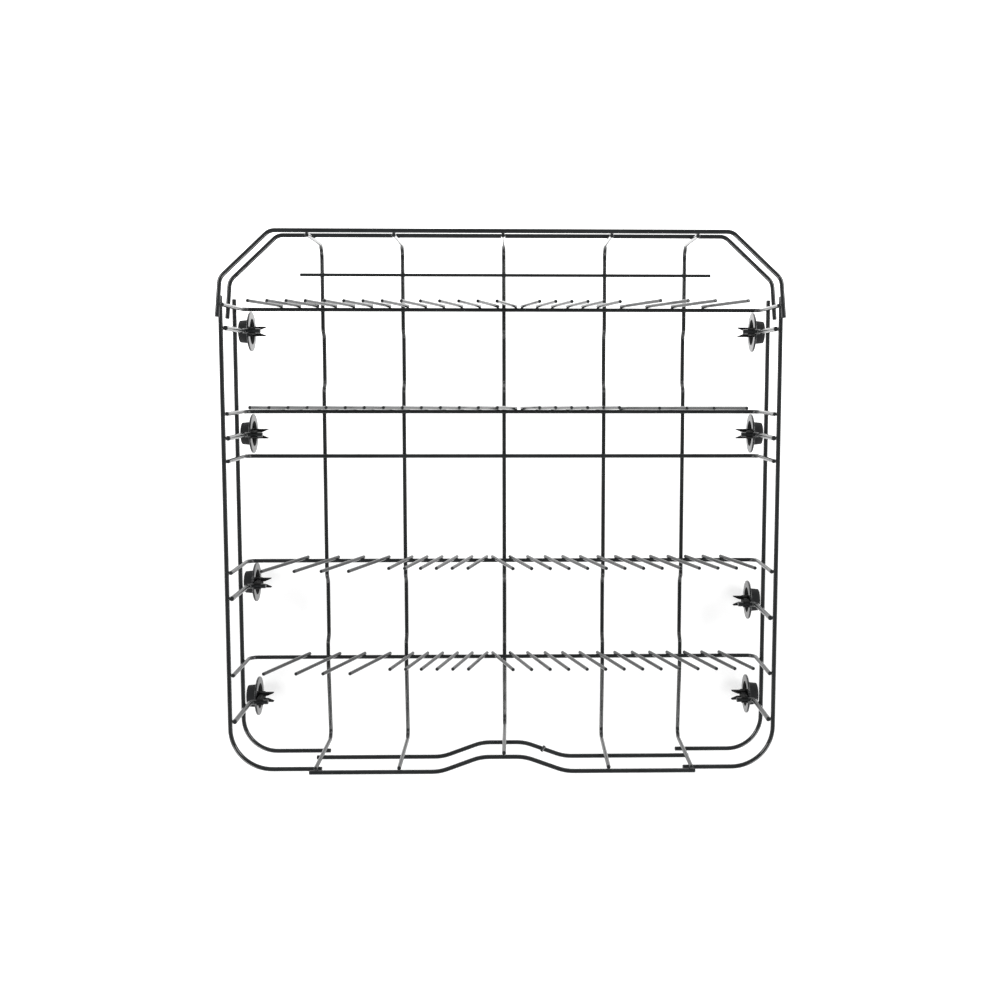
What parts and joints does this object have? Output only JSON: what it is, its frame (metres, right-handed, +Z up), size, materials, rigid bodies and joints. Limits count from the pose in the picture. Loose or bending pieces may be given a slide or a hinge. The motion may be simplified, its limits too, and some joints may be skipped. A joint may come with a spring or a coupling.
{
  "type": "dishwasher basket",
  "caption": "Lower dishwasher basket of coated wire with chamfered rear corners, a dented front rail, leaning plate tines and small flanged wheels.",
  "frame": {"origin": "on the ground under the middle of the basket's bounding box", "axes": "+X to the right seen from the front, +Y to the rear, +Z up"},
  "size_m": [0.5316, 0.517, 0.1306],
  "materials": {
    "coated_wire": "satin charcoal coating",
    "carrier_plastic": "black moulded plastic",
    "wheel_plastic": "dark grey moulded plastic"
  },
  "bodies": {
    "basket": {"upper_rail_rear": "coated_wire", "upper_rail_left": "coated_wire", "upper_rail_right": "coated_wire", "upper_rail_front": "coated_wire", "lower_rail_rear": "coated_wire", "lower_rail_left": "coated_wire", "lower_rail_right": "coated_wire", "lower_rail_front": "coated_wire", "runner_1": "coated_wire", "runner_2": "coated_wire", "runner_3": "coated_wire", "runner_4": "coated_wire", "runner_5": "coated_wire", "cross_wire_1": "coated_wire", "cross_wire_2": "coated_wire", "cross_wire_3": "coated_wire", "cross_wire_4": "coated_wire", "cross_wire_5": "coated_wire", "tines_1": "coated_wire", "tines_2": "coated_wire", "tines_4": "coated_wire", "tines_5": "coated_wire", "rear_bar": "coated_wire", "front_peg": "coated_wire", "wheel_arm_left_1": "coated_wire", "wheel_arm_left_2": "coated_wire", "wheel_arm_left_3": "coated_wire", "wheel_arm_left_4": "coated_wire", "wheel_arm_right_1": "coated_wire", "wheel_arm_right_2": "coated_wire", "wheel_arm_right_3": "coated_wire", "wheel_arm_right_4": "coated_wire", "carrier_left_1": "carrier_plastic", "carrier_left_2": "carrier_plastic", "carrier_left_3": "carrier_plastic", "carrier_left_4": "carrier_plastic", "carrier_right_1": "carrier_plastic", "carrier_right_2": "carrier_plastic", "carrier_right_3": "carrier_plastic", "carrier_right_4": "carrier_plastic"},
    "wheel_left_1": {"wheel_left_1": "wheel_plastic"},
    "wheel_left_2": {"wheel_left_2": "wheel_plastic"},
    "wheel_left_3": {"wheel_left_3": "wheel_plastic"},
    "wheel_left_4": {"wheel_left_4": "wheel_plastic"},
    "wheel_right_1": {"wheel_right_1": "wheel_plastic"},
    "wheel_right_2": {"wheel_right_2": "wheel_plastic"},
    "wheel_right_3": {"wheel_right_3": "wheel_plastic"},
    "wheel_right_4": {"wheel_right_4": "wheel_plastic"}
  },
  "joints": [
    {"name": "wheel_left_1_spin", "type": "hinge", "parent": "basket", "child": "wheel_left_1", "pos_m": [-0.2587, 0.1672, 0.02], "axis": [1, 0, 0], "continuous": true},
    {"name": "wheel_left_2_spin", "type": "hinge", "parent": "basket", "child": "wheel_left_2", "pos_m": [-0.2587, 0.0642, 0.02], "axis": [1, 0, 0], "continuous": true},
    {"name": "wheel_left_3_spin", "type": "hinge", "parent": "basket", "child": "wheel_left_3", "pos_m": [-0.2587, -0.0889, 0.02], "axis": [1, 0, 0], "continuous": true},
    {"name": "wheel_left_4_spin", "type": "hinge", "parent": "basket", "child": "wheel_left_4", "pos_m": [-0.2587, -0.2089, 0.02], "axis": [1, 0, 0], "continuous": true},
    {"name": "wheel_right_1_spin", "type": "hinge", "parent": "basket", "child": "wheel_right_1", "pos_m": [0.2587, 0.1672, 0.02], "axis": [1, 0, 0], "continuous": true},
    {"name": "wheel_right_2_spin", "type": "hinge", "parent": "basket", "child": "wheel_right_2", "pos_m": [0.2587, 0.0642, 0.02], "axis": [1, 0, 0], "continuous": true},
    {"name": "wheel_right_3_spin", "type": "hinge", "parent": "basket", "child": "wheel_right_3", "pos_m": [0.2587, -0.1091, 0.02], "axis": [1, 0, 0], "continuous": true},
    {"name": "wheel_right_4_spin", "type": "hinge", "parent": "basket", "child": "wheel_right_4", "pos_m": [0.2587, -0.2089, 0.02], "axis": [1, 0, 0], "continuous": true}
  ]
}
